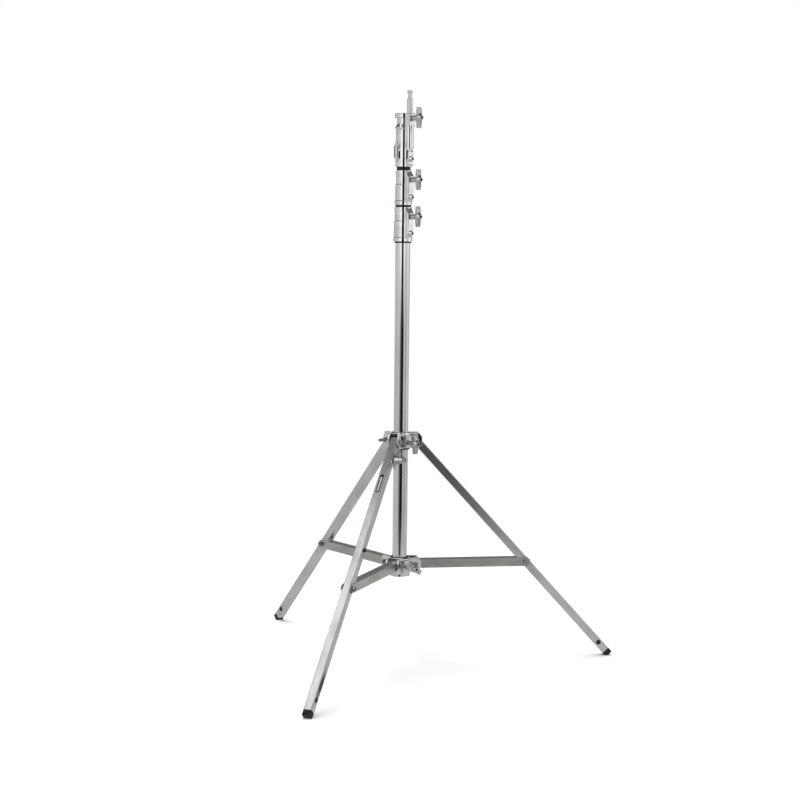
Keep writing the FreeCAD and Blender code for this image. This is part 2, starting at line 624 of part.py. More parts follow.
# ---------------------------------------------------------------- hubs on the base tube
def hub_casting(name, foot, top, pivot_height, pivot_radius, slot_width, ear_thickness,
                ear_reach, knob_height, arm_foot):
    """A sliding hub: a barrel round the tube, three forked arms and a clamp block."""
    place = turned(LEG_AZIMUTHS["right"])
    block_turn = KNOB_AZIMUTH - 360 - LEG_AZIMUTHS["right"]
    edge = S["edge_break"]
    barrel = base_radius + S["hub_wall"]
    reach = pivot_radius + ear_reach
    body = new_body(name, place)
    turn_profile(body, "barrel", [(0, foot), (barrel, foot), (barrel, top - S["cast_step"]),
                                  (barrel - S["step_rise"], top), (0, top)])
    arm = plate(body, "arm", [(0, arm_foot), (reach - S["arm_toe"], arm_foot),
                              (reach - S["arm_knee_reach"], arm_foot + S["arm_knee_height"]),
                              (reach, arm_foot + S["arm_heel_height"]),
                              (reach, top - S["arm_shoulder"]),
                              (reach - S["arm_crown"], top - edge), (0, top - edge)],
                slot_width + ear_thickness * 2)
    ring_of(body, "arms", [arm], 3)
    slot = block(body, "slot", (reach, slot_width, top - foot), (barrel, -slot_width / 2, foot),
                 cut=True)
    ring_of(body, "slots", [slot], 3)
    pin = cylinder(body, "pin_hole", S["pivot_radius"], slot_width * 2,
                   (pivot_radius, -slot_width, pivot_height), "y", cut=True)
    ring_of(body, "pin_holes", [pin], 3)
    low = foot + S["step_rise"]
    block(body, "clamp_block", (block_reach, S["block_width"],
                                top - S["hub_block_inset"] - low),
          (0, -S["block_width"] / 2, low), azimuth=block_turn)
    cylinder(body, "screw_boss", S["boss_radius"], S["boss_height"],
             (block_reach, 0, knob_height), "x", block_turn)
    cylinder(body, "tube_bore", base_radius + S["free_gap"], top - foot, (0, 0, foot), cut=True)
    cylinder(body, "pad_seat", S["pad_radius"] + S["running_gap"],
             base_radius + S["pad_depth"], (0, 0, knob_height), "x", block_turn, cut=True)
    cylinder(body, "screw_hole", S["screw_radius"], block_reach + S["boss_height"],
             (0, 0, knob_height), "x", block_turn, cut=True)
    return body


def leg_hub():
    foot = S["leg_pivot_height"] - S["hub_below"]
    top = S["leg_pivot_height"] + S["hub_above"]
    edge = S["edge_break"]
    slot = S["leg_width"] + S["side_gap"] * 2
    body = hub_casting("leg_hub", foot, top, S["leg_pivot_height"], leg_pivot_radius, slot,
                       S["ear_thickness"], S["ear_reach"], leg_knob_height, foot)
    bush_radius = base_radius + S["bush_wall"]
    bush_foot = top - S["hub_bush_height"]
    cylinder(body, "bush_seat", bush_radius, S["hub_bush_height"], (0, 0, bush_foot), cut=True)
    bush = new_body("leg_hub_bush")
    cylinder(bush, "outside", bush_radius - S["seat_gap"], S["hub_bush_height"],
             (0, 0, bush_foot))
    cylinder(bush, "bore", base_radius + S["running_gap"], S["hub_bush_height"],
             (0, 0, bush_foot), cut=True)
    ring = new_body("leg_hub_ring")
    bore, rim = base_radius + S["running_gap"], base_radius + S["hub_ring_wall"]
    ring_foot = foot - S["hub_ring_height"]
    turn_profile(ring, "ring", [(bore, ring_foot), (rim - edge, ring_foot),
                                (rim, ring_foot + edge), (rim, foot), (bore, foot)])
    brake_pad("leg_hub_brake_pad", base_radius, leg_knob_height)
    t_knob("leg_hub", turned(KNOB_AZIMUTH, 0, leg_knob_height),
           base_radius + S["pad_depth"] + S["screw_tip_gap"], knob_start)
    pivot_bolts(slot / 2, S["ear_thickness"])


def brace_hub():
    foot = S["brace_height"] - S["brace_hub_below"]
    top = S["brace_height"] + S["brace_hub_above"]
    rise = S["step_rise"]
    body = hub_casting("brace_hub", foot, top, S["brace_height"], brace_pivot_radius,
                       brace_width + S["side_gap"] * 2, S["brace_ear_thickness"],
                       S["brace_ear_reach"], brace_knob_height, foot + S["arm_shoulder"])
    ring_foot = top - S["brace_ring_height"]
    bore, rim = base_radius + S["running_gap"], base_radius + S["brace_ring_wall"]
    cylinder(body, "ring_seat", rim + S["seat_gap"], S["brace_ring_height"],
             (0, 0, ring_foot), cut=True)
    ring = new_body("brace_hub_ring")
    turn_profile(ring, "ring", [(bore, ring_foot), (rim, ring_foot), (rim, top - rise),
                                (rim - rise, top), (bore, top)])
    brake_pad("brace_hub_brake_pad", base_radius, brace_knob_height)
    turn = Placement(V(0, 0, 0), Rotation(V(1, 0, 0), BRACE_KNOB_TURN))
    t_knob("brace_hub", turned(KNOB_AZIMUTH, 0, brace_knob_height) * turn,
           base_radius + S["pad_depth"] + S["screw_tip_gap"], knob_start)


# ---------------------------------------------------------------- bolts
def fused(name, pieces, place):
    fuse = doc.addObject("Part::MultiFuse", name)
    fuse.Shapes = pieces
    fuse.Placement = place
    return fuse


def bar(name, radius, length, start, sides=0):
    """A round or six-sided bar along Y, from start."""
    kind = "Part::Prism" if sides else "Part::Cylinder"
    piece = doc.addObject(kind, name)
    if sides:
        piece.Polygon = sides
        bind(piece, Circumradius=radius, Height=length)
    else:
        bind(piece, Radius=radius, Height=length)
    piece.Placement = Placement(V(0, 0, 0), AXIS_TURNS["y"])
    piece.setExpression("Placement.Base.y", formula(start))
    return piece


def through_bolt(name, half_grip, place):
    """A hex bolt along Y with its nut, gripping what lies between plus and minus half_grip."""
    length = half_grip * 2 + S["nut_height"] + S["bolt_end"]
    pieces = [bar(name + "_shank", S["pivot_radius"] - S["running_gap"] / 2, length,
                  -half_grip),
              bar(name + "_head", S["hex_radius"], S["bolt_head_height"],
                  -half_grip - S["bolt_head_height"], 6),
              bar(name + "_nut", S["hex_radius"], S["nut_height"], half_grip, 6)]
    return fused(name, pieces, place)


def group(name, members):
    compound = doc.addObject("Part::Compound", name)
    compound.Label = name
    compound.Links = members
    PARTS.append(compound)


def single(piece):
    piece.Label = piece.Name
    PARTS.append(piece)


def pivot_bolts(inner_face, ear):
    """The leg pivots' heads and nuts in the hub's ears; each leg carries its own pin."""
    members = []
    for side, azimuth in LEG_AZIMUTHS.items():
        place = turned(azimuth, leg_pivot_radius, S["leg_pivot_height"])
        outer_face = inner_face + ear
        end = S["long_bolt_end"] if side == "left" else S["nut_height"] + S["bolt_end"]
        radius = S["pivot_radius"] - S["running_gap"] / 2
        name = "leg_pivot_" + side
        near = [bar(name + "_end", radius, ear + end, inner_face),
                bar(name + "_nut", S["hex_radius"], S["nut_height"], outer_face, 6)]
        far = [bar(name + "_stub", radius, ear, -outer_face),
               bar(name + "_head", S["hex_radius"], S["bolt_head_height"],
                   -outer_face - S["bolt_head_height"], 6)]
        members += [fused(name + "_near", near, place), fused(name + "_far", far, place)]
    group("leg_pivot_bolts", members)


def brace_hub_bolts():
    grip = brace_width / 2 + S["side_gap"] + S["brace_ear_thickness"]
    group("brace_hub_bolts",
          [through_bolt("brace_hub_bolt_" + side, grip,
                        turned(azimuth, brace_pivot_radius, S["brace_height"]))
           for side, azimuth in LEG_AZIMUTHS.items()])


# ---------------------------------------------------------------- legs and braces
def leg(side):
    half, wide = S["leg_width"] / 2, S["leg_width"]
    wall = S["leg_wall"]
    length = S["leg_top"] - tube_end
    hole_from = 0 if NEAR_SIDE[side] > 0 else -wide
    place = leg_place(side)

    tube = new_body("leg_" + side, place)
    block(tube, "outside", (wide, wide, length), (-half, -half, tube_end))
    soften(tube, "corners", S["leg_corner"], lambda edge: runs_along(edge, V(0, 0, 1)))
    block(tube, "hollow", (wide - wall * 2, wide - wall * 2, length),
          (-half + wall, -half + wall, tube_end), cut=True)
    cylinder(tube, "pivot_hole", S["pivot_radius"], wide * 2, (0, -wide, 0), "y", cut=True)
    cylinder(tube, "brace_hole", S["pivot_radius"] + S["running_gap"] / 2, wide * 2,
             (0, -wide, -joint_along_leg), "y", cut=True)
    button_height = tube_end + S["button_rise"]
    cylinder(tube, "button_hole", S["button_radius"] + S["foot_plug_gap"], wide,
             (0, hole_from, button_height), "y", cut=True)
    if side == "front":
        cylinder(tube, "leveller_hole", S["screw_radius"], wide, (0, 0, -S["clamp_place"]),
                 "y", cut=True)

    pin = new_body("leg_pin_" + side, place)
    pin_half = half + S["side_gap"] / 2
    cylinder(pin, "pin", S["pivot_radius"] - S["running_gap"] / 2, pin_half * 2,
             (0, -pin_half, 0), "y")
    foot_cap(side, place, button_height)


def foot_cap(side, place, button_height):
    """The rubber foot: a block under the tube, a plug inside it and a round side button."""
    half, wide = S["leg_width"] / 2, S["leg_width"]
    bottom = -leg_reach
    body = new_body("foot_" + side, place)
    block(body, "sole", (wide, wide, S["foot_height"]), (-half, -half, bottom))
    soften(body, "sole_chamfer", S["foot_chamfer"],
           lambda edge: runs_along(edge, V(0, 1, 0)) and middle(edge).x < 0
           and abs(middle(edge).z - bottom.value) < 1e-6, kind="Chamfer")
    soften(body, "sole_rounds", S["foot_round"],
           lambda edge: (runs_along(edge, V(0, 1, 0)) and middle(edge).x > 0
                         and abs(middle(edge).z - bottom.value) < 1e-6)
           or runs_along(edge, V(0, 0, 1)))
    inside = wide - (S["leg_wall"] + S["foot_plug_gap"]) * 2
    block(body, "plug", (inside, inside, S["foot_plug_length"] + S["edge_break"]),
          (-inside / 2, -inside / 2, tube_end - S["edge_break"]))
    length = half + S["button_height"]
    start = 0 if NEAR_SIDE[side] > 0 else -length
    cylinder(body, "button", S["button_radius"], length, (0, start, button_height), "y")
    # the floor, placed in the leg's own frame, levels the sole
    floor = new_feature(body, "SubtractiveBox", "floor_cut")
    bind(floor, Length=wide * 6, Width=wide * 6, Height=wide)
    corner = (S["foot_radius"] - wide * 3, -wide * 3, -wide)
    floor.Placement = LEG_FRAME.inverse() * Placement(V(*map(number, corner)), Rotation())


def brace(side):
    """A channel, open below, that straddles the leg at its outer end."""
    half_width = brace_width / 2
    half_depth = S["brace_depth"] / 2
    end = S["brace_end"]
    cut = end * math.tan(math.pi / 8)
    place = turned(LEG_AZIMUTHS[side], brace_pivot_radius, S["brace_height"])
    body = new_body("brace_" + side, place)
    plate(body, "walls", [(-cut, -half_depth), (brace_length + cut, -half_depth),
                          (brace_length + end, -cut), (brace_length + end, cut),
                          (brace_length + cut, half_depth), (-cut, half_depth),
                          (-end, cut), (-end, -cut)], brace_width)
    soften(body, "edges", S["brace_edge_round"],
           lambda edge: runs_along(edge, V(1, 0, 0)) and middle(edge).z > 0)
    inner = brace_width - S["brace_wall"] * 2
    block(body, "hollow", (brace_length + end * 4, inner, S["brace_depth"] - S["brace_wall"]),
          (-end * 2, -inner / 2, -half_depth), cut=True)
    block(body, "hub_end_cut", (end * 2 + S["brace_web_start"], inner, S["brace_depth"]),
          (-end * 2, -inner / 2, -half_depth), cut=True)
    block(body, "leg_end_cut", (end + S["brace_web_cut"] + end, inner, S["brace_depth"]),
          (brace_length - S["brace_web_cut"], -inner / 2, -half_depth), cut=True)
    for label, along in (("hub", 0), ("leg", brace_length)):
        gap = S["running_gap"] / 2 if label == "hub" else 0
        cylinder(body, label + "_hole", S["pivot_radius"] + gap, brace_width * 2,
                 (along, -brace_width, 0), "y", cut=True)
    single(through_bolt("brace_bolt_" + side, half_width,
                        turned(LEG_AZIMUTHS[side], joint_radius, S["brace_height"])))


# ---------------------------------------------------------------- trim on the front leg
def front_leg_trim():
    place = leg_place("front")
    half = S["leg_width"] / 2
    inner = half + S["seat_gap"]
    outer = inner + S["clamp_wall"]
    low = -S["clamp_place"] - S["clamp_length"] / 2
    clamp = new_body("leveller_clamp", place)
    block(clamp, "plate", (S["clamp_width"], S["clamp_wall"], S["clamp_length"]),
          (-S["clamp_width"] / 2, inner, low))
    soften(clamp, "corners", S["clamp_corner"], lambda edge: runs_along(edge, V(0, 1, 0)))
    cylinder(clamp, "screw_hole", S["screw_radius"], outer, (0, 0, -S["clamp_place"]), "y",
             cut=True)
    knob_place = place * Placement(V(0, 0, -SIZES["clamp_place"]), Rotation(V(0, 0, 1), 90))
    t_knob("leveller", knob_place, S["leveller_tip"], outer + S["knob_gap"],
           neck=S["leveller_neck"], straight=S["leveller_hub"])

    label = new_body("label_plate", place)
    block(label, "plate", (S["label_thickness"], S["label_width"], S["label_length"]),
          (half, -S["label_width"] / 2, -S["label_place"] - S["label_length"] / 2))
    bumper = new_body("leg_bumper", place)
    cylinder(bumper, "button", S["bumper_radius"], S["bumper_height"],
             (0, half, -S["bumper_place"]), "y")
    soften(bumper, "dome", S["bumper_height"] / 2,
           lambda edge: edge.Curve.TypeId == "Part::GeomCircle"
           and middle(edge).y > number(half + S["bumper_height"] / 2))


# ---------------------------------------------------------------- build
brace_width = S["leg_width"] + (S["brace_side_gap"] + S["brace_wall"]) * 2

round_tube("base_tube", S["base_tube_od"], S["base_tube_foot"], base_top)
round_tube("riser_1_tube", riser_1_od, riser_1_foot, riser_1_top)
round_tube("riser_2_tube", riser_2_od, riser_2_foot, riser_2_top)
tube_plug()
tube_guide("riser_1_guide", riser_1_od, S["base_tube_od"], riser_1_foot)
tube_guide("riser_2_guide", riser_2_od, riser_1_od, riser_2_foot)
collar_ring()
collar("collar_1", S["base_tube_od"], riser_1_od, collar_1_foot, S["collar_ring_height"],
       base_top, S["collar_1_bush_height"], S["knob_rise"], S["anchor_rise"])
collar("collar_2", riser_1_od, riser_2_od, collar_2_foot, 0, riser_1_top,
       S["collar_2_bush_height"], S["knob_rise"] - S["collar_2_knob_drop"],
       S["anchor_rise"] - S["collar_2_anchor_drop"])
receiver()
leg_hub()
brace_hub()
brace_hub_bolts()
for side_name in LEG_AZIMUTHS:
    leg(side_name)
    brace(side_name)
front_leg_trim()
doc.recompute()

# the origin moves to the middle of the footprint, which the feet alone set
box = FreeCAD.BoundBox()
for part in PARTS:
    box.add(part.Shape.optimalBoundingBox(False))
middle_shift = Placement(V(-box.Center.x, -box.Center.y, 0), Rotation())
for part in PARTS:
    part.Placement = middle_shift * part.Placement
doc.recompute()

# ---------------------------------------------------------------- checks and export
failed = [item.Name for item in doc.Objects if set(item.State) & {"Invalid", "Error"}]
if failed:
    raise RuntimeError("failed objects: " + ", ".join(failed))
for part in PARTS:
    if part.Shape.isNull() or not part.Shape.isValid():
        raise RuntimeError("bad shape: " + part.Label)
os.makedirs("parts", exist_ok=True)
for part in PARTS:
    part.Shape.exportStep("parts/%s.step" % part.Label)
print("%d parts, box %s, shifted by %.4f, %.4f" % (
    len(PARTS), box, middle_shift.Base.x, middle_shift.Base.y))
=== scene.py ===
"""Finishes, fine detail and a studio for a steel lighting stand.

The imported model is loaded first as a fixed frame, in metres. Each operator finishes one group
of its pieces, and the last one builds the floor, the lights and the camera.
"""
import json
import math

import bmesh
import bpy
import numpy
from bpy.props import FloatProperty, FloatVectorProperty, IntProperty, PointerProperty
from mathutils import Matrix, Vector


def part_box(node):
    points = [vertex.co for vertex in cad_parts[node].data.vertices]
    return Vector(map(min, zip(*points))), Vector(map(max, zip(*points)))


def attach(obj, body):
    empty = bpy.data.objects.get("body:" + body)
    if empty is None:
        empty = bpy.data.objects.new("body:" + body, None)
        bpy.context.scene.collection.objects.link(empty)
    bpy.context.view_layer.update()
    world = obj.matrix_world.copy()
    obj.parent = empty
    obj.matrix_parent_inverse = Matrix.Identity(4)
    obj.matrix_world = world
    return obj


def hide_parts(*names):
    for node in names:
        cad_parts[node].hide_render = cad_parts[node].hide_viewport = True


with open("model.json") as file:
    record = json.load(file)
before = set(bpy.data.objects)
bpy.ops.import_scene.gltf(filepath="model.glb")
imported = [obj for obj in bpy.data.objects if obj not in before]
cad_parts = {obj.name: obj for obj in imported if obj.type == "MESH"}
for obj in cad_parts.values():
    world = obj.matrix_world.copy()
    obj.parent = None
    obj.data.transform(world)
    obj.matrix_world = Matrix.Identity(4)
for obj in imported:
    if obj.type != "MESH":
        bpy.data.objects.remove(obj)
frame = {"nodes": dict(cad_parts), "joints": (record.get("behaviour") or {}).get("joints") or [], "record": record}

bl_info = {
    "name": "Lighting Stand Finishes",
    "version": (1, 0, 0),
    "blender": (4, 5, 0),
    "location": "View3D > Sidebar > Stand",
    "description": "Chrome, cast, rubber and nylon finishes with fine detail for a lighting stand",
    "category": "Object",
}

MM = 0.001
NODES = frame["nodes"]
JOINTS = {joint["name"]: joint for joint in frame["joints"]}
BODY_OF = {node: body for body, nodes in frame["record"]["behaviour"]["bodies"].items()
           for node in nodes}
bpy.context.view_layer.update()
UP = Vector((0, 0, 1))
SIDES = ("right", "left", "front")

# how strongly the reflected cards and the room shine, and where the cards' tones change
CARD_GLOW = 1.15
ROOM_GLOW = 0.18
WALL_TONES_CHANGE = (0.62, 1.12)
FLOOR_TONES_CHANGE = (1.3, 2.4)

TUBES = ("base_tube", "riser_1_tube", "riser_2_tube")
CASTINGS = ("collar_1", "collar_2", "receiver")
HUBS = ("leg_hub", "brace_hub")
HANDLES = ("collar_1", "collar_2", "receiver", "leg_hub", "brace_hub", "leveller")
ANCHORED = ("collar_1", "collar_2", "receiver")
NYLON = ("collar_1_ring", "collar_1_bush", "collar_2_bush", "leg_hub_ring", "leg_hub_bush",
         "brace_hub_ring", "riser_1_guide", "riser_2_guide", "base_tube_plug",
         "socket_floor_plug")
PADS = ("collar_1_brake_pad", "collar_2_brake_pad", "leg_hub_brake_pad",
        "brace_hub_brake_pad", "receiver_shoe")


# ---------------------------------------------------------------- colours and sizes
def linear(code):
    """An sRGB hex value as linear red, green and blue."""
    parts = [int(code[i:i + 2], 16) / 255 for i in (1, 3, 5)]
    return tuple(c / 12.92 if c <= 0.04045 else ((c + 0.055) / 1.055) ** 2.4 for c in parts)


def colour(name, description, code):
    return FloatVectorProperty(name=name, description=description, subtype="COLOR", size=3,
                               min=0, max=1, default=linear(code))


def length(name, description, millimetres):
    return FloatProperty(name=name, description=description, subtype="DISTANCE",
                         unit="LENGTH", default=millimetres * MM)


class STAND_PG_finish(bpy.types.PropertyGroup):
    """Colours of the finishes."""

    tube_chrome: colour("Tube chrome", "Bright chrome on the round tubes", "#EBEBEA")
    tube_haze: colour("Tube haze", "Faint wiping haze on the tubes", "#DAD9D8")
    cast_chrome: colour("Cast chrome", "Bright chrome on the castings", "#EBEAE8")
    cast_shadow: colour("Cast shade", "Duller patches of the castings' chrome", "#D9D7D4")
    leg_chrome: colour("Leg chrome", "Satin chrome on legs and braces", "#DAD9D7")
    leg_dull: colour("Leg dull", "Duller patches of the satin chrome", "#C8C6C3")
    # The braces' two colours are the leg chrome darkened by about a fifth: painted shade for the darker light the
    # braces catch.
    brace_shaded_chrome: colour("Brace chrome", "Satin chrome on the braces", "#C6C4C1")
    brace_shaded_dull: colour("Brace dull", "Duller patches of the braces' chrome", "#B3B1AD")
    handle_metal: colour("Handle metal", "Tumbled casting of the T-handles", "#DCD8D4")
    # The handles' dull colour serves both their random duller patches and the painted shade in their concave
    # hollows.
    handle_dull_and_hollow_shade: colour("Handle dull", "Duller skin of the T-handles", "#B9B4AF")
    bolt_zinc: colour("Bolt zinc", "Zinc plating on bolts and nuts", "#B8BABB")
    bolt_dark: colour("Bolt shade", "Darker bands of the zinc plating", "#85878A")
    stud_steel: colour("Stud steel", "Turned steel of the stud and screws", "#D9DADB")
    nylon: colour("Nylon", "Moulded black nylon", "#0E0E10")
    nylon_scuffed: colour("Scuffed nylon", "Nylon rubbed grey", "#26272A")
    rubber: colour("Rubber", "Black rubber of the feet", "#121213")
    rubber_dust: colour("Rubber dust", "Floor dust held in the rubber", "#3A3937")
    # The sockets' near-black colour is painted shade for the inside of the hexagon holes.
    socket_shade_black: colour("Black oxide", "Blackened steel of the hexagon sockets", "#151516")
    brass: colour("Brass", "Turned brass of the brake pads", "#C9A560")
    label_face: colour("Label face", "Blank foil of the label", "#C9CBCB")
    label_ink: colour("Label ink", "Border and end of the label", "#1A1A1C")


class STAND_PG_detail(bpy.types.PropertyGroup):
    """Sizes of the fine detail."""

    thread_pitch: length("Thread pitch", "Pitch of the bolts' threads", 1.25)
    thread_height: length("Thread height", "How far the thread's crest stands out", 0.28)
    socket_depth: length("Hex socket depth", "Depth of the hexagon in a bolt's head", 3.8)
    handle_grain: length("Handle mesh size", "Cell size of the handles' soft castings", 0.75)
    hub_grain: length("Hub mesh size", "Cell size of the hubs' soft castings", 0.9)
    soft_passes: IntProperty(name="Edge softening", default=5, min=0,
                             description="Smoothing passes on the soft castings")
    label_border: length("Label border", "Width of the dark border on the label", 2.6)
    label_end: length("Label end", "Length of the dark end of the label", 5.0)
    ink_height: length("Ink height", "Thickness of the label's printed layer", 0.15)


class STAND_PG_studio(bpy.types.PropertyGroup):
    """The camera and the lights."""

    distance: FloatProperty(name="Camera distance", unit="LENGTH", default=4.39,
                            description="From the column to the camera")
    azimuth: FloatProperty(name="Camera azimuth", subtype="ANGLE",
                           default=math.radians(21.75), description="Turn about the column")
    elevation: FloatProperty(name="Camera elevation", subtype="ANGLE",
                             default=math.radians(5.66), description="Tilt above level")
    roll: FloatProperty(name="Camera roll", subtype="ANGLE", default=math.radians(0.60),
                        description="Lean of the camera")
    aim_height: FloatProperty(name="Aim height", unit="LENGTH", default=0.728,
                              description="Height that the camera looks at")
    aim_side: FloatProperty(name="Aim side", unit="LENGTH", default=-0.0034,
                            description="Sideways offset of the camera")
    lens: FloatProperty(name="Lens", description="Focal length in millimetres", default=72.03)
    overhead: FloatProperty(name="Overhead light", description="Power of the soft box above",
                            default=22.0)
    floor_light: FloatProperty(name="Floor light", default=185.0,
                               description="Power of the light that only fills the floor")
    wall_radius: FloatProperty(name="Wall radius", unit="LENGTH", default=5.2,
                               description="Distance of the studio's reflected walls")
    wall_height: FloatProperty(name="Wall height", unit="LENGTH", default=4.0,
                               description="Height of the studio's reflected walls")


# ---------------------------------------------------------------- reading the frame
def points_of(node):
    """A CAD node's mesh points as an array."""
    mesh = NODES[node].data
    points = numpy.zeros(len(mesh.vertices) * 3)
    mesh.vertices.foreach_get("co", points)
    return points.reshape(-1, 3)


def along_line(node, origin, direction):
    """Each point's place along a line, and its distance from the line."""
    offset = points_of(node) - numpy.array(origin)
    along = offset @ numpy.array(direction)
    radius = numpy.linalg.norm(offset - numpy.outer(along, numpy.array(direction)), axis=1)
    return along, radius


def centre_of(node):
    low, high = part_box(node)
    return (low + high) / 2


COLUMN = Vector((centre_of("base_tube").x, centre_of("base_tube").y, 0))


def outward(point):
    """The level direction from the column to a point."""
    direction = Vector((point.x - COLUMN.x, point.y - COLUMN.y, 0))
    return direction.normalized()


def screw_axis(owner):
    """The place and direction of a clamp screw."""
    joint = JOINTS[owner + "_screw_turn"]
    return Vector(joint["pos_m"]), Vector(joint["axis"]).normalized()


def leg_axes(side):
    """A leg's direction up the tube, the normal of its upper face, and its middle."""
    top, foot = centre_of("leg_pin_" + side), centre_of("foot_" + side)
    level = outward(foot)
    tangent = UP.cross(level)
    joint = Vector(JOINTS["leg_%s_fold" % side]["pos_m"])
    climb = (top - joint).normalized()
    return climb, tangent.cross(climb).normalized(), joint


# ---------------------------------------------------------------- building meshes
def object_from(bm, name, material, body, sharp=math.radians(32)):
    """A bmesh as an object that rides on a body."""
    bmesh.ops.recalc_face_normals(bm, faces=bm.faces)
    mesh = bpy.data.meshes.new(name)
    bm.to_mesh(mesh)
    bm.free()
    mesh.shade_smooth()
    mesh.set_sharp_from_angle(angle=sharp)
    mesh.materials.append(material)
    obj = bpy.data.objects.new(name, mesh)
    bpy.context.scene.collection.objects.link(obj)
    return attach(obj, body)


def pose_along(origin, direction):
    """A matrix whose Z runs along a direction from an origin."""
    turn = Vector(direction).to_track_quat("Z", "Y").to_matrix().to_4x4()
    return Matrix.Translation(origin) @ turn


def stack_rings(bm, rings, matrix, capped=True):
    """Joins rings of (x, y, z) points into a closed skin."""
    made = [[bm.verts.new(matrix @ Vector(point)) for point in ring] for ring in rings]
    count = len(made[0])
    for lower, upper in zip(made, made[1:]):
        for i in range(count):
            j = (i + 1) % count
            bm.faces.new((lower[i], lower[j], upper[j], upper[i]))
    if capped:
        bm.faces.new(made[0])
        bm.faces.new(made[-1])
    return made


def ring_points(radius, height, count):
    return [(radius * math.cos(math.tau * i / count), radius * math.sin(math.tau * i / count),
             height) for i in range(count)]


def thread(name, origin, direction, start, end, radius, material, body):
    """A helical thread on the end of a bolt, with a chamfered tip."""
    detail = bpy.context.scene.stand_detail
    pitch, crest = detail.thread_pitch, detail.thread_height
    around, per_turn = 28, 7
    rise = pitch / per_turn
    steps = max(2, int((end - start) / rise))
    rings = []
    for step in range(steps + 1):
        height = start + (end - start) * step / steps
        taper = min(1.0, (end - height) / (pitch * 0.8), (height - start) / (pitch * 0.3))
        ring = []
        for i in range(around):
            phase = (height / pitch - i / around) % 1.0
            flank = 1 - abs(phase * 2 - 1)
            r = radius + crest * max(0.05, min(flank * 1.4, 1.0) * max(0.0, taper))
            angle = math.tau * i / around
            ring.append((r * math.cos(angle), r * math.sin(angle), height))
        rings.append(ring)
    rings.append(ring_points(radius * 0.86, end + crest, around))
    bm = bmesh.new()
    stack_rings(bm, rings, pose_along(origin, direction))
    return object_from(bm, name, material, body)


def hex_socket(node, origin, direction, material):
    """A liner with a hexagonal hole, set in the round hole of a bolt's head, in the near-black socket material
    that paints the hole's shade.
    """
    depth = bpy.context.scene.stand_detail.socket_depth
    along, radius = along_line(node, origin, direction)
    face = along.max()
    hole = radius[along > face - 0.05 * MM].min()
    count, lip = 36, 0.35 * MM
    apothem = hole * 0.80
    hexagon, rim = [], []
    for i in range(count):
        angle = math.tau * i / count
        local = (angle % (math.pi / 3)) - math.pi / 6
        hexagon.append((apothem / math.cos(local), angle))
        rim.append((hole - 0.02 * MM, angle))

    def level(profile, height, grow=1.0):
        return [(r * grow * math.cos(a), r * grow * math.sin(a), height) for r, a in profile]

    rings = [level(rim, face - depth), level(rim, face - lip / 2),
             level(hexagon, face - lip / 2, 1.06), level(hexagon, face - lip),
             level(hexagon, face - depth + lip)]
    bm = bmesh.new()
    stack_rings(bm, rings, pose_along(origin, direction))
    return object_from(bm, node + "_hexagon", material, BODY_OF[node])


def soft_casting(node, cell, material):
    """A casting with the rounded edges and filled corners of its mould, from its CAD solid."""
    detail = bpy.context.scene.stand_detail
    bm = bmesh.new()
    bm.from_mesh(NODES[node].data)
    bmesh.ops.remove_doubles(bm, verts=bm.verts, dist=0.001 * MM)
    mesh = bpy.data.meshes.new(node + "_cast")
    bm.to_mesh(mesh)
    bm.free()
    source = bpy.data.objects.new(node + "_cast", mesh)
    bpy.context.scene.collection.objects.link(source)
    remesh = source.modifiers.new("skin", "REMESH")
    remesh.mode = "VOXEL"
    remesh.voxel_size = cell
    smooth = source.modifiers.new("soften", "SMOOTH")
    smooth.factor = 0.5
    smooth.iterations = detail.soft_passes
    reduce = source.modifiers.new("reduce", "DECIMATE")
    reduce.decimate_type = "COLLAPSE"
    reduce.ratio = 0.35
    graph = bpy.context.evaluated_depsgraph_get()
    final = bpy.data.meshes.new_from_object(source.evaluated_get(graph))
    source.modifiers.clear()
    source.data = final
    final.shade_smooth()
    final.set_sharp_from_angle(angle=math.radians(60))
    final.materials.clear()
    final.materials.append(material)
    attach(source, BODY_OF[node])
    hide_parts(node)
    return source


def paint(nodes, material):
    for node in nodes:
        NODES[node].data.materials.clear()
        NODES[node].data.materials.append(material)


# ---------------------------------------------------------------- material helpers
def add(material, kind, inputs=None, **settings):
    """Adds a node with its settings; an input is a value, or an output to link from."""
    tree = material.node_tree
    node = tree.nodes.new(kind)
    for name, value in settings.items():
        setattr(node, name, value)
    for name, value in (inputs or {}).items():
        if isinstance(value, bpy.types.NodeSocket):
            tree.links.new(value, node.inputs[name])
        else:
            node.inputs[name].default_value = value
    return node


def new_material(name):
    material = bpy.data.materials.new(name)
    material.use_nodes = True
    material.node_tree.nodes.clear()
    return material


def per_metre(millimetres):
    """A pattern's scale from the real size of one of its features."""
    return 1 / (millimetres * MM)


def ramp(material, source, stops):
    """A colour ramp with (place, colour) stops."""
    node = add(material, "ShaderNodeValToRGB", {"Fac": source})
    elements = node.color_ramp.elements
    while len(elements) < len(stops):
        elements.new(1.0)
    for element, (place, value) in zip(elements, stops):
        element.position = place
        element.color = (*value, 1) if hasattr(value, "__len__") else (value, value, value, 1)
    return node.outputs["Color"]


def spread(material, source, low, high):
    """A 0 to 1 pattern as numbers between two values."""
    node = add(material, "ShaderNodeMapRange",
               {"Value": source, "From Min": 0.25, "From Max": 0.75, "To Min": low,
                "To Max": high})
    return node.outputs["Result"]


def object_place(material):
    return add(material, "ShaderNodeTexCoord").outputs["Object"]


def noise(material, place, millimetres, detail=3.0, roughness=0.55):
    node = add(material, "ShaderNodeTexNoise",
               {"Vector": place, "Scale": per_metre(millimetres), "Detail": detail,
                "Roughness": roughness})
    return node.outputs["Fac"]


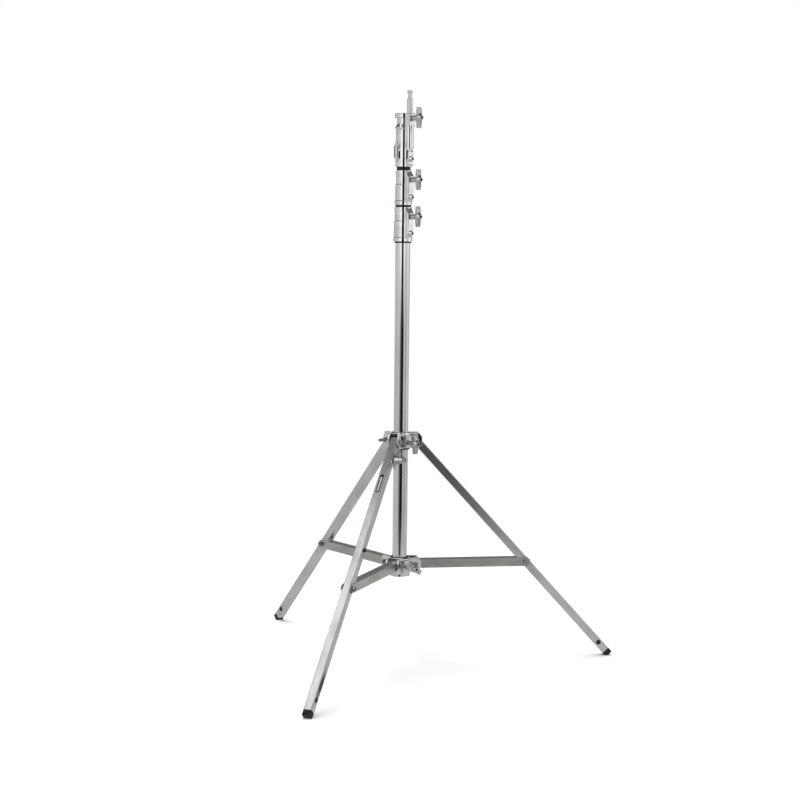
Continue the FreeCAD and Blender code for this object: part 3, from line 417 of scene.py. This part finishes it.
def stretched(material, place, direction, ratio):
    """Coordinates squeezed along a direction, which draws a pattern out into lines."""
    along = add(material, "ShaderNodeVectorMath", {0: place, 1: tuple(direction)},
                operation="DOT_PRODUCT").outputs["Value"]
    lines = add(material, "ShaderNodeVectorMath",
                {0: tuple(-Vector(direction) * (1 - 1 / ratio)), "Scale": along},
                operation="SCALE").outputs["Vector"]
    return add(material, "ShaderNodeVectorMath", {0: place, 1: lines},
               operation="ADD").outputs["Vector"]


def bump(material, source, height_mm, strength=1.0, normal=None):
    inputs = {"Height": source, "Distance": height_mm * MM, "Strength": strength}
    if normal:
        inputs["Normal"] = normal
    return add(material, "ShaderNodeBump", inputs).outputs["Normal"]


def surface(material, **inputs):
    """The principled shader and the material's output."""
    shader = add(material, "ShaderNodeBsdfPrincipled",
                 {name.replace("_", " "): value for name, value in inputs.items()})
    add(material, "ShaderNodeOutputMaterial", {"Surface": shader.outputs["BSDF"]})
    return material


# ---------------------------------------------------------------- the finishes
def drawn_tube_chrome(finish):
    """Bright chrome on drawn steel tube: a mirror with faint lines along the tube."""
    material = new_material("chrome_plated_drawn_tube")
    place = object_place(material)
    drawn = stretched(material, place, UP, 60)
    lines = noise(material, drawn, 0.8, 2.0)
    haze = noise(material, stretched(material, place, UP, 4), 45)
    tint = ramp(material, haze, ((0.35, finish.tube_haze), (0.62, finish.tube_chrome)))
    rough = add(material, "ShaderNodeMath",
                {0: spread(material, haze, 0.10, 0.035), 1: spread(material, lines, 0.0, 0.03)},
                operation="ADD").outputs[0]
    return surface(material, Base_Color=tint, Metallic=1.0, Roughness=rough,
                   Normal=bump(material, lines, 0.006, 0.35))


def buffed_cast_chrome(finish):
    """Bright chrome on a buffed die casting: a mirror with slow ripples and duller patches."""
    material = new_material("chrome_plated_buffed_casting")
    place = object_place(material)
    ripple = noise(material, place, 9, 1.5)
    skin = noise(material, place, 1.6, 3.0)
    patch = noise(material, place, 22)
    tint = ramp(material, patch, ((0.34, finish.cast_shadow), (0.60, finish.cast_chrome)))
    rough = add(material, "ShaderNodeMath",
                {0: spread(material, ripple, 0.02, 0.05), 1: spread(material, skin, 0.0, 0.03)},
                operation="ADD").outputs[0]
    fine = bump(material, skin, 0.015, 0.15)
    return surface(material, Base_Color=tint, Metallic=1.0, Roughness=rough,
                   Normal=bump(material, ripple, 0.10, 0.22, fine))


def linished_chrome(name, direction, bright, dull):
    """Satin chrome on square tube that was linished along its length before plating."""
    material = new_material("satin_chrome_linished_" + name)
    place = object_place(material)
    lines = noise(material, stretched(material, place, direction, 45), 1.1, 4.0, 0.7)
    cloud = noise(material, stretched(material, place, direction, 3), 28)
    tint = ramp(material, cloud, ((0.34, dull), (0.60, bright)))
    rough = add(material, "ShaderNodeMath",
                {0: spread(material, cloud, 0.21, 0.15), 1: spread(material, lines, 0.0, 0.07)},
                operation="ADD").outputs[0]
    return surface(material, Base_Color=tint, Metallic=1.0, Roughness=rough, Anisotropic=0.35,
                   Normal=bump(material, lines, 0.02, 0.45))


def tumbled_casting(finish):
    """A zinc die casting tumbled with stones: satin, with a fine grain, and painted shade that darkens its concave
    hollows.
    """
    material = new_material("tumbled_satin_die_casting")
    place = object_place(material)
    grain = noise(material, place, 0.7, 3.0, 0.65)
    patch = noise(material, place, 12)
    # Painted shade: where pointiness shows a concave hollow, the handle takes the dull colour instead of its own.
    edge = add(material, "ShaderNodeNewGeometry").outputs["Pointiness"]
    free_of_hollow_shade = ramp(material, edge, ((0.43, 0.0), (0.53, 1.0)))
    base = ramp(material, patch, ((0.35, finish.handle_dull_and_hollow_shade), (0.65, finish.handle_metal)))
    shade = add(material, "ShaderNodeMix",
                {"Factor": free_of_hollow_shade, "A": (*finish.handle_dull_and_hollow_shade, 1), "B": base},
                data_type="RGBA").outputs["Result"]
    return surface(material, Base_Color=shade, Metallic=1.0,
                   Roughness=spread(material, grain, 0.17, 0.31),
                   Normal=bump(material, grain, 0.05, 0.5))


def zinc_plated_steel(finish):
    """Zinc plating on cold-headed steel: greyer than chrome, with darker cloudy bands."""
    material = new_material("zinc_plated_headed_steel")
    place = object_place(material)
    cloud = noise(material, place, 4)
    grain = noise(material, place, 0.6, 2.0)
    tint = ramp(material, cloud, ((0.35, finish.bolt_dark), (0.62, finish.bolt_zinc)))
    return surface(material, Base_Color=tint, Metallic=1.0,
                   Roughness=spread(material, grain, 0.22, 0.36),
                   Normal=bump(material, grain, 0.02, 0.4))


def turned_steel(finish):
    """Bright steel bar turned on a lathe: fine rings round the bar."""
    material = new_material("bright_turned_steel")
    place = object_place(material)
    flat = add(material, "ShaderNodeMapping", {"Vector": place, "Scale": (0.02, 0.02, 1.0)})
    rings = noise(material, flat.outputs["Vector"], 0.9, 2.0)
    patch = noise(material, place, 15)
    rough = add(material, "ShaderNodeMath",
                {0: spread(material, patch, 0.05, 0.09), 1: spread(material, rings, 0.0, 0.05)},
                operation="ADD").outputs[0]
    return surface(material, Base_Color=(*finish.stud_steel, 1), Metallic=1.0, Roughness=rough,
                   Normal=bump(material, rings, 0.01, 0.4))


def socket_shade_steel(finish):
    """Near-black, oily steel lining the hexagon sockets: painted shade for the dark inside of the holes."""
    material = new_material("hex_socket_painted_shade")
    grain = noise(material, object_place(material), 0.6, 2.0)
    return surface(material, Base_Color=(*finish.socket_shade_black, 1), Metallic=0.7,
                   Roughness=spread(material, grain, 0.35, 0.5),
                   Normal=bump(material, grain, 0.02, 0.4))


def moulded_nylon(finish):
    """Injection moulded nylon: near black, soft sheen, rubbed greyer in patches."""
    material = new_material("injection_moulded_nylon")
    place = object_place(material)
    grain = noise(material, place, 0.5, 2.0)
    rub = noise(material, place, 14)
    tint = ramp(material, rub, ((0.52, finish.nylon), (0.72, finish.nylon_scuffed)))
    return surface(material, Base_Color=tint, Roughness=spread(material, grain, 0.38, 0.52),
                   Normal=bump(material, grain, 0.03, 0.5))


def moulded_rubber(finish):
    """Vulcanised rubber: matt, finely pitted, with floor dust in random patches."""
    material = new_material("vulcanised_rubber")
    place = object_place(material)
    pits = noise(material, place, 1.0, 4.0, 0.7)
    dust = noise(material, place, 9)
    tint = ramp(material, dust, ((0.50, finish.rubber), (0.80, finish.rubber_dust)))
    return surface(material, Base_Color=tint, Roughness=spread(material, pits, 0.62, 0.86),
                   Normal=bump(material, pits, 0.12, 0.6))


def turned_brass(finish):
    """Brass turned from bar: warm and half bright."""
    material = new_material("turned_brass")
    grain = noise(material, object_place(material), 0.8, 2.0)
    return surface(material, Base_Color=(*finish.brass, 1), Metallic=1.0,
                   Roughness=spread(material, grain, 0.24, 0.38),
                   Normal=bump(material, grain, 0.02, 0.4))


def label_foil(finish):
    """Aluminised polyester foil of a blank label: brighter than the leg, faintly creased."""
    material = new_material("aluminised_label_foil")
    place = object_place(material)
    crease = noise(material, place, 7, 2.0)
    return surface(material, Base_Color=(*finish.label_face, 1), Metallic=0.6,
                   Roughness=spread(material, crease, 0.30, 0.45),
                   Normal=bump(material, crease, 0.04, 0.5))


def screen_ink(finish):
    """Screen-printed ink: dark with a slight unevenness of the printed film."""
    material = new_material("screen_printed_ink")
    film = noise(material, object_place(material), 1.2)
    return surface(material, Base_Color=(*finish.label_ink, 1),
                   Roughness=spread(material, film, 0.4, 0.6),
                   Normal=bump(material, film, 0.02, 0.4))


# ---------------------------------------------------------------- operators
class STAND_OT_tubes(bpy.types.Operator):
    """Bright chrome on the base tube and the two risers"""

    bl_idname = "stand.tubes"
    bl_label = "Finish the tubes"

    def execute(self, context):
        paint(TUBES, drawn_tube_chrome(context.scene.stand_finish))
        return {"FINISHED"}


class STAND_OT_castings(bpy.types.Operator):
    """Buffed chrome on the collars, the receiver and the two hubs"""

    bl_idname = "stand.castings"
    bl_label = "Finish the castings"

    def execute(self, context):
        material = buffed_cast_chrome(context.scene.stand_finish)
        paint(CASTINGS, material)
        for node in HUBS:
            soft_casting(node, context.scene.stand_detail.hub_grain, material)
        return {"FINISHED"}


class STAND_OT_handles(bpy.types.Operator):
    """Soft-edged tumbled castings for the T-handles"""

    bl_idname = "stand.handles"
    bl_label = "Make the T-handles"

    def execute(self, context):
        material = tumbled_casting(context.scene.stand_finish)
        for owner in HANDLES:
            soft_casting(owner + "_knob", context.scene.stand_detail.handle_grain, material)
        return {"FINISHED"}


class STAND_OT_fasteners(bpy.types.Operator):
    """Zinc and steel on bolts and screws, with threads and hexagon sockets"""

    bl_idname = "stand.fasteners"
    bl_label = "Finish the fasteners"

    def execute(self, context):
        finish = context.scene.stand_finish
        # black is the sockets' liner material: painted shade inside the hexagon holes.
        zinc, steel, black = (zinc_plated_steel(finish), turned_steel(finish),
                              socket_shade_steel(finish))
        bolts = ["brace_bolt_" + side for side in SIDES] + ["leg_pin_" + side for side in SIDES]
        paint(bolts + ["leg_pivot_bolts", "brace_hub_bolts"], zinc)
        paint([owner + "_anchor_bolt" for owner in ANCHORED], steel)
        paint([owner + "_screw" for owner in HANDLES] + ["stud"], steel)
        for side in SIDES:
            hub_joint = Vector(JOINTS["brace_%s_fold" % side]["pos_m"])
            leg_joint = Vector(JOINTS["leg_%s_fold" % side]["pos_m"])
            self.bolt_end("leg_pivot_bolts", centre_of("leg_pin_" + side), side, zinc)
            self.bolt_end("brace_hub_bolts", hub_joint, side, zinc)
            self.bolt_end("brace_bolt_" + side, leg_joint, side, zinc)
        heads = [(owner + "_anchor_bolt", centre_of(owner + "_anchor_bolt"),
                  screw_axis(owner)[1]) for owner in ANCHORED]
        heads += [(owner + "_knob", *screw_axis(owner)) for owner in HANDLES]
        for node, place, direction in heads:
            hex_socket(node, place, direction, black)
        return {"FINISHED"}

    def bolt_end(self, node, pivot, side, material):
        """The thread that shows past a nut."""
        direction = UP.cross(outward(pivot))
        along, radius = along_line(node, pivot, direction)
        near = numpy.abs(along) < 80 * MM
        near &= radius < 10 * MM
        nut_face = along[near & (radius > 5 * MM)].max()
        tip = along[near & (radius < 5 * MM)].max()
        shank = radius[near & (along > tip - 0.05 * MM)].max()
        name = node if node.endswith(side) else "%s_%s" % (node, side)
        piece = thread(name + "_thread", pivot, direction, nut_face, tip, shank, material,
                       BODY_OF[node])


class STAND_OT_legs(bpy.types.Operator):
    """Satin chrome, linished along each leg and brace"""

    bl_idname = "stand.legs"
    bl_label = "Finish the legs and braces"

    def execute(self, context):
        finish = context.scene.stand_finish
        for side in SIDES:
            leg, brace = "leg_" + side, "brace_" + side
            paint([leg], linished_chrome(leg, leg_axes(side)[0], finish.leg_chrome,
                                         finish.leg_dull))
            # The braces take the darker copy of the satin chrome, which is painted shade.
            paint([brace], linished_chrome(brace, outward(centre_of(brace)),
                                           finish.brace_shaded_chrome, finish.brace_shaded_dull))
        paint(["leveller_clamp"], buffed_cast_chrome(finish))
        return {"FINISHED"}


class STAND_OT_plastics(bpy.types.Operator):
    """Nylon rings, bushes and guides, and brass brake pads"""

    bl_idname = "stand.plastics"
    bl_label = "Finish the nylon and brass pieces"

    def execute(self, context):
        paint(NYLON, moulded_nylon(context.scene.stand_finish))
        paint(PADS, turned_brass(context.scene.stand_finish))
        return {"FINISHED"}


class STAND_OT_feet(bpy.types.Operator):
    """Rubber on the feet and the bumper"""

    bl_idname = "stand.feet"
    bl_label = "Finish the feet"

    def execute(self, context):
        material = moulded_rubber(context.scene.stand_finish)
        paint(["foot_" + side for side in SIDES] + ["leg_bumper"], material)
        return {"FINISHED"}


class STAND_OT_label(bpy.types.Operator):
    """A blank foil label with a dark border"""

    bl_idname = "stand.label"
    bl_label = "Finish the label"

    def execute(self, context):
        finish, detail = context.scene.stand_finish, context.scene.stand_detail
        paint(["label_plate"], label_foil(finish))
        ink = screen_ink(finish)
        climb, normal, _ = leg_axes("front")
        across = climb.cross(normal)
        middle = centre_of("label_plate")
        points = points_of("label_plate") - numpy.array(middle)
        half_long = (points @ numpy.array(climb)).max()
        half_wide = (points @ numpy.array(across)).max()
        face = (points @ numpy.array(normal)).max()
        matrix = Matrix.Translation(middle) @ Matrix((across, climb, normal)).transposed().to_4x4()
        border, top = detail.label_border, face + detail.ink_height
        outer = [(-half_wide, -half_long), (half_wide, -half_long), (half_wide, half_long),
                 (-half_wide, half_long)]
        inner = [(-half_wide + border, -half_long + border),
                 (half_wide - border, -half_long + border),
                 (half_wide - border, half_long - border - detail.label_end),
                 (-half_wide + border, half_long - border - detail.label_end)]
        bm = bmesh.new()
        rings = [[(x, y, face) for x, y in outer], [(x, y, top) for x, y in outer],
                 [(x, y, top) for x, y in inner], [(x, y, face) for x, y in inner]]
        made = stack_rings(bm, rings, matrix, capped=False)
        for i in range(len(outer)):
            j = (i + 1) % len(outer)
            bm.faces.new((made[-1][i], made[-1][j], made[0][j], made[0][i]))
        object_from(bm, "label_border", ink, "leg_front")
        return {"FINISHED"}


class STAND_OT_stage(bpy.types.Operator):
    """A pale floor, soft studio light with its reflected walls, and the camera"""

    bl_idname = "stand.stage"
    bl_label = "Build the studio"

    def execute(self, context):
        studio = context.scene.stand_studio
        self.world(context.scene)
        self.floor()
        self.wall(studio)
        self.floor_tones(studio)
        self.lamp("overhead_softbox", (-1.5, -2.65, 3.8), 2.6, studio.overhead, glossy=True)
        self.lamp("floor_fill", (-0.6, 0.5, 3.6), 4.0, studio.floor_light, glossy=False)
        self.camera(context.scene, studio)
        context.scene.view_settings.view_transform = "Standard"
        return {"FINISHED"}

    def world(self, scene):
        """White to the camera, and a softer grey to what the metal reflects."""
        world = bpy.data.worlds.new("studio_air")
        world.use_nodes = True
        world.node_tree.nodes.clear()
        path = add(world, "ShaderNodeLightPath")
        seen = add(world, "ShaderNodeBackground", {"Color": (1, 1, 1, 1), "Strength": 1.0})
        lit = add(world, "ShaderNodeBackground", {"Color": (1, 1, 1, 1), "Strength": ROOM_GLOW})
        mix = add(world, "ShaderNodeMixShader",
                  {0: path.outputs["Is Camera Ray"], 1: lit.outputs[0], 2: seen.outputs[0]})
        add(world, "ShaderNodeOutputWorld", {"Surface": mix.outputs[0]})
        scene.world = world

    def disc(self, name, radius, height, material):
        bm = bmesh.new()
        bmesh.ops.create_circle(bm, cap_ends=True, segments=96, radius=radius)
        mesh = bpy.data.meshes.new(name)
        bm.to_mesh(mesh)
        bm.free()
        mesh.materials.append(material)
        disc = bpy.data.objects.new(name, mesh)
        disc.location = (COLUMN.x, COLUMN.y, height)
        bpy.context.scene.collection.objects.link(disc)
        return disc

    def floor(self):
        """A pale floor whose far part fades into the background."""
        material = new_material("pale_studio_floor")
        place = object_place(material)
        far = add(material, "ShaderNodeVectorMath", {0: place}, operation="LENGTH")
        fade = add(material, "ShaderNodeMapRange",
                   {"Value": far.outputs["Value"], "From Min": 1.2, "From Max": 2.6},
                   interpolation_type="SMOOTHSTEP").outputs["Result"]
        paper = add(material, "ShaderNodeBsdfDiffuse", {"Color": (0.9, 0.9, 0.9, 1)})
        glow = add(material, "ShaderNodeEmission", {"Color": (1, 1, 1, 1), "Strength": 1.0})
        mix = add(material, "ShaderNodeMixShader",
                  {0: fade, 1: paper.outputs[0], 2: glow.outputs[0]})
        add(material, "ShaderNodeOutputMaterial", {"Surface": mix.outputs[0]})
        return self.disc("studio_floor", 40.0, 0.0, material)

    def card_tones(self, name, studio, stops, measure, change):
        """A surface lit in bands round the column, which change along a measure."""
        material = new_material(name)
        place = object_place(material)
        turned = add(material, "ShaderNodeVectorRotate",
                     {"Vector": place, "Angle": math.pi / 2 - studio.azimuth},
                     rotation_type="Z_AXIS").outputs["Vector"]
        axes = add(material, "ShaderNodeSeparateXYZ", {"Vector": turned})
        angle = add(material, "ShaderNodeMath",
                    {0: axes.outputs["Y"], 1: axes.outputs["X"]}, operation="ARCTAN2")
        share = add(material, "ShaderNodeMapRange",
                    {"Value": angle.outputs[0], "From Min": -math.pi, "From Max": math.pi})
        low, high = [ramp(material, share.outputs["Result"], bands) for bands in stops]
        radius = add(material, "ShaderNodeVectorMath", {0: place}, operation="LENGTH")
        value = axes.outputs["Z"] if measure == "height" else radius.outputs["Value"]
        climb = add(material, "ShaderNodeMapRange",
                    {"Value": value, "From Min": change[0], "From Max": change[1]},
                    interpolation_type="SMOOTHSTEP").outputs["Result"]
        tone = add(material, "ShaderNodeMix", {"Factor": climb, "A": low, "B": high},
                   data_type="RGBA").outputs["Result"]
        shine = add(material, "ShaderNodeEmission", {"Color": tone, "Strength": CARD_GLOW})
        add(material, "ShaderNodeOutputMaterial", {"Surface": shine.outputs[0]})
        return material

    def tones(self):
        """Brightness against the angle from the camera: near floor, low and high cards."""
        near = ((-180, 0.50), (-16, 0.50), (-6, 0.02), (8, 0.02), (15, 0.48), (180, 0.50))
        low = ((-180, 0.46), (-150, 0.50), (-110, 0.50), (-38, 0.49), (-20, 0.13), (-5, 0.01),
               (14, 0.0), (24, 0.05), (32, 0.42), (45, 0.62), (63, 0.20), (83, 0.60),
               (110, 0.54), (140, 0.42), (180, 0.46))
        high = ((-180, 0.16), (-148, 0.16), (-135, 0.52), (-90, 0.56), (-54, 0.68),
                (-34, 0.98), (-18, 1.0), (-13, 0.0), (10, 0.0), (16, 1.0), (34, 0.92),
                (52, 0.45), (75, 0.85), (120, 0.80), (150, 0.18), (180, 0.16))
        return [[((angle + 180) / 360, value) for angle, value in stops]
                for stops in (near, low, high)]

    def reflected_only(self, obj, diffuse):
        obj.visible_camera = False
        obj.visible_shadow = False
        obj.visible_diffuse = diffuse
        return obj

    def wall(self, studio):
        """The round wall of cards that the polished metal reflects."""
        material = self.card_tones("studio_cards", studio, self.tones()[1:], "height",
                                   WALL_TONES_CHANGE)
        bm = bmesh.new()
        rings = [ring_points(studio.wall_radius, height, 128)
                 for height in (0.0, studio.wall_height)]
        stack_rings(bm, rings, Matrix.Identity(4), capped=False)
        mesh = bpy.data.meshes.new("studio_cards")
        bm.to_mesh(mesh)
        bm.free()
        mesh.materials.append(material)
        wall = bpy.data.objects.new("studio_cards", mesh)
        wall.location = COLUMN
        bpy.context.scene.collection.objects.link(wall)
        return self.reflected_only(wall, True)

    def floor_tones(self, studio):
        """The floor as the polished metal reflects it."""
        material = self.card_tones("studio_floor_cards", studio, self.tones()[:2], "radius",
                                   FLOOR_TONES_CHANGE)
        disc = self.disc("studio_floor_cards", studio.wall_radius, 1 * MM, material)
        return self.reflected_only(disc, False)

    def lamp(self, name, place, size, power, glossy):
        """A square soft box that points at the stand's middle."""
        data = bpy.data.lights.new(name, "AREA")
        data.shape = "SQUARE"
        data.size = size
        data.energy = power
        lamp = bpy.data.objects.new(name, data)
        lamp.location = COLUMN + Vector(place)
        aim = COLUMN - lamp.location
        lamp.rotation_mode = "QUATERNION"
        lamp.rotation_quaternion = aim.to_track_quat("-Z", "Y")
        lamp.visible_camera = False
        lamp.visible_glossy = glossy
        bpy.context.scene.collection.objects.link(lamp)

    def camera(self, scene, studio):
        data = bpy.data.cameras.new("studio_camera")
        data.lens = studio.lens
        data.sensor_width = 36.0
        data.clip_end = 100.0
        camera = bpy.data.objects.new("studio_camera", data)
        turn, tilt = studio.azimuth, studio.elevation
        back = Vector((math.sin(turn) * math.cos(tilt), -math.cos(turn) * math.cos(tilt),
                       math.sin(tilt)))
        right = Vector((math.cos(turn), math.sin(turn), 0))
        aim = COLUMN + UP * studio.aim_height + right * studio.aim_side
        camera.location = aim + back * studio.distance
        camera.rotation_mode = "QUATERNION"
        lean = Matrix.Rotation(studio.roll, 4, "Z").to_quaternion()
        camera.rotation_quaternion = (-back).to_track_quat("-Z", "Y") @ lean
        scene.collection.objects.link(camera)
        scene.camera = camera


class STAND_PT_panel(bpy.types.Panel):
    """The stand's steps in the sidebar"""

    bl_idname = "STAND_PT_panel"
    bl_label = "Lighting Stand"
    bl_space_type = "VIEW_3D"
    bl_region_type = "UI"
    bl_category = "Stand"

    def draw(self, context):
        for operator in OPERATORS:
            self.layout.operator(operator.bl_idname)
        for group in SETTINGS:
            settings = getattr(context.scene, group)
            column = self.layout.column()
            for name in settings.__annotations__:
                column.prop(settings, name)


OPERATORS = (STAND_OT_tubes, STAND_OT_castings, STAND_OT_handles, STAND_OT_fasteners,
             STAND_OT_legs, STAND_OT_plastics, STAND_OT_feet, STAND_OT_label, STAND_OT_stage)
SETTINGS = {"stand_finish": STAND_PG_finish, "stand_detail": STAND_PG_detail,
            "stand_studio": STAND_PG_studio}


def register():
    for item in (*SETTINGS.values(), *OPERATORS, STAND_PT_panel):
        bpy.utils.register_class(item)
    for name, group in SETTINGS.items():
        setattr(bpy.types.Scene, name, PointerProperty(type=group))


def unregister():
    for name in SETTINGS:
        delattr(bpy.types.Scene, name)
    for item in (STAND_PT_panel, *reversed(OPERATORS), *SETTINGS.values()):
        bpy.utils.unregister_class(item)


def main():
    register()
    for operator in OPERATORS:
        group, name = operator.bl_idname.split(".")
        getattr(getattr(bpy.ops, group), name)()


if __name__ == "__main__":
    main()
